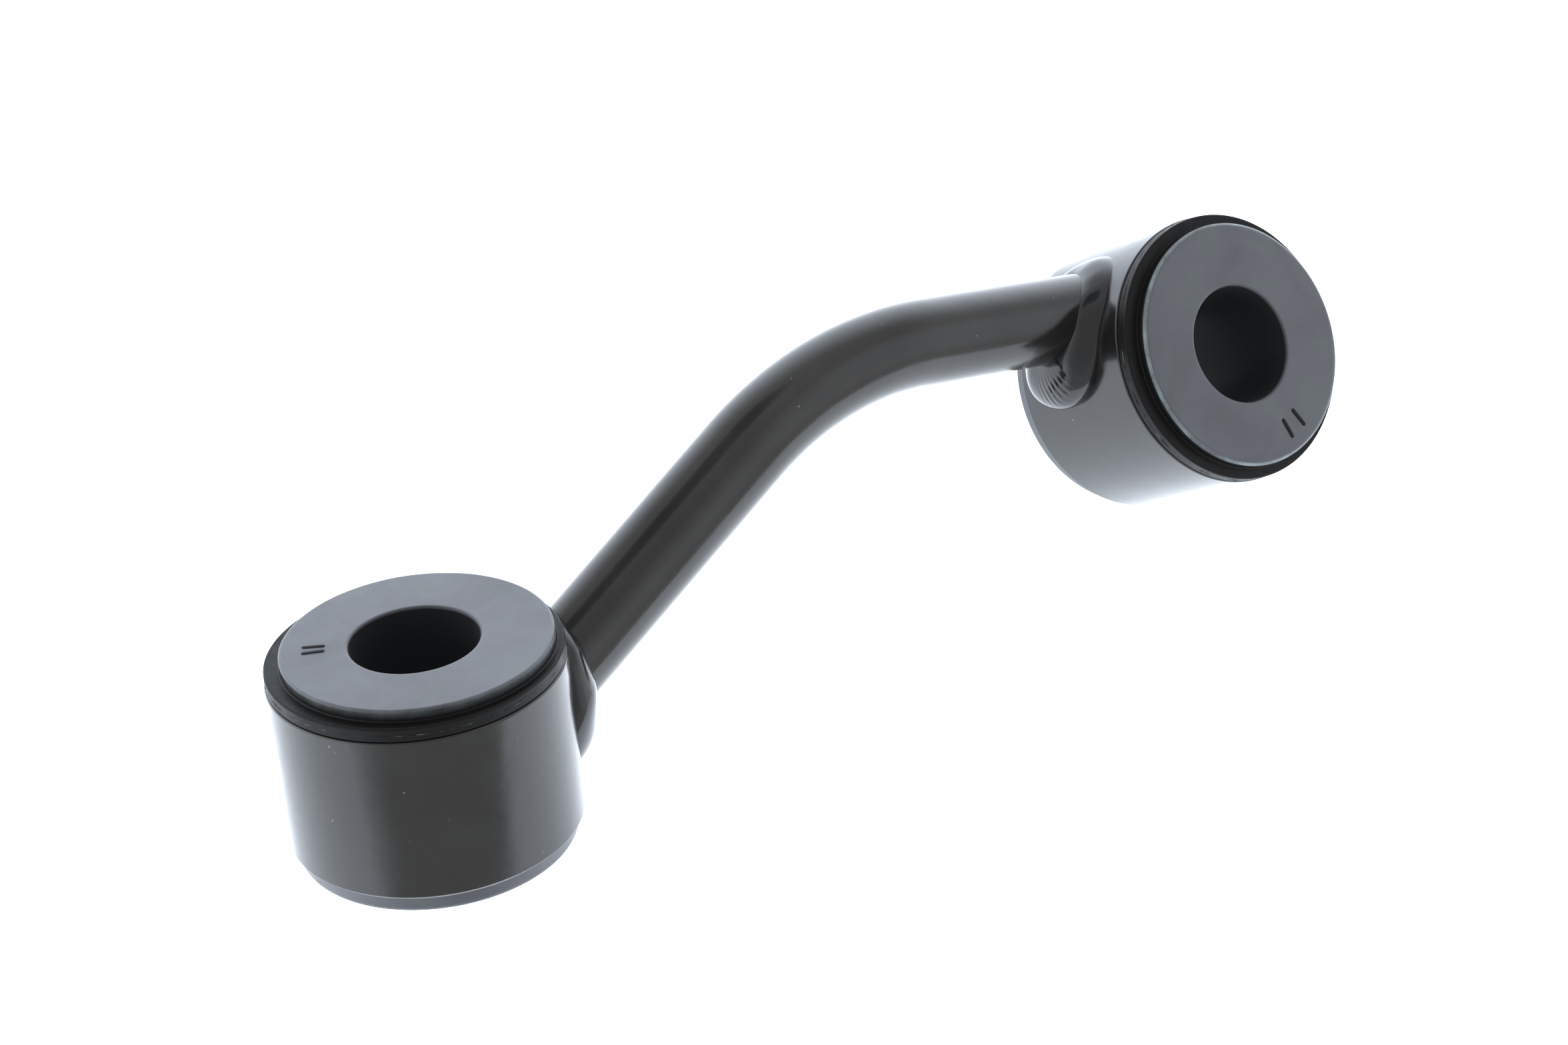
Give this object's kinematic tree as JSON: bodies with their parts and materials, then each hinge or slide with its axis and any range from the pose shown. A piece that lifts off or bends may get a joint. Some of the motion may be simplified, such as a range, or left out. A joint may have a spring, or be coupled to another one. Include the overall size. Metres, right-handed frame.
{
  "type": "sway bar link",
  "caption": "Bent round-rod sway-bar link with a welded eye on each end, turned different ways, and a lipped rubber bush with a plain bore in each eye.",
  "frame": {"origin": "middle of the lower eye: on its bore's axis, halfway along its tube", "axes": "+Z along the lower eye's bore, towards its bush's lip; +X from the lower eye towards the side that the rod leaves it on; +Y completes a right-handed set"},
  "size_m": [0.1634, 0.0503, 0.0475],
  "materials": {
    "rod_paint": "gloss black dip coat on drawn steel bar",
    "sleeve_paint": "gloss black dip coat on steel tube",
    "weld_paint": "gloss black dip coat on a rippled weld bead",
    "bush_rubber": "satin moulded rubber with a faint bloom"
  },
  "bodies": {
    "link": {"link_rod": "rod_paint", "lower_sleeve": "sleeve_paint", "upper_sleeve": "sleeve_paint", "lower_weld": "weld_paint", "upper_weld": "weld_paint"},
    "lower_bush": {"lower_bush": "bush_rubber"},
    "upper_bush": {"upper_bush": "bush_rubber"}
  },
  "joints": [
    {"name": "lower_bush_twist", "type": "hinge", "parent": "link", "child": "lower_bush", "pos_m": [0, 0, 0], "axis": [0, 0, 1], "range_deg": [-20, 20], "stiffness_Nm_per_rad": 26},
    {"name": "upper_bush_twist", "type": "hinge", "parent": "link", "child": "upper_bush", "pos_m": [0.12533, -0.01011, 0.01098], "axis": [-0.008, -0.8788, 0.4771], "range_deg": [-20, 20], "stiffness_Nm_per_rad": 26}
  ]
}
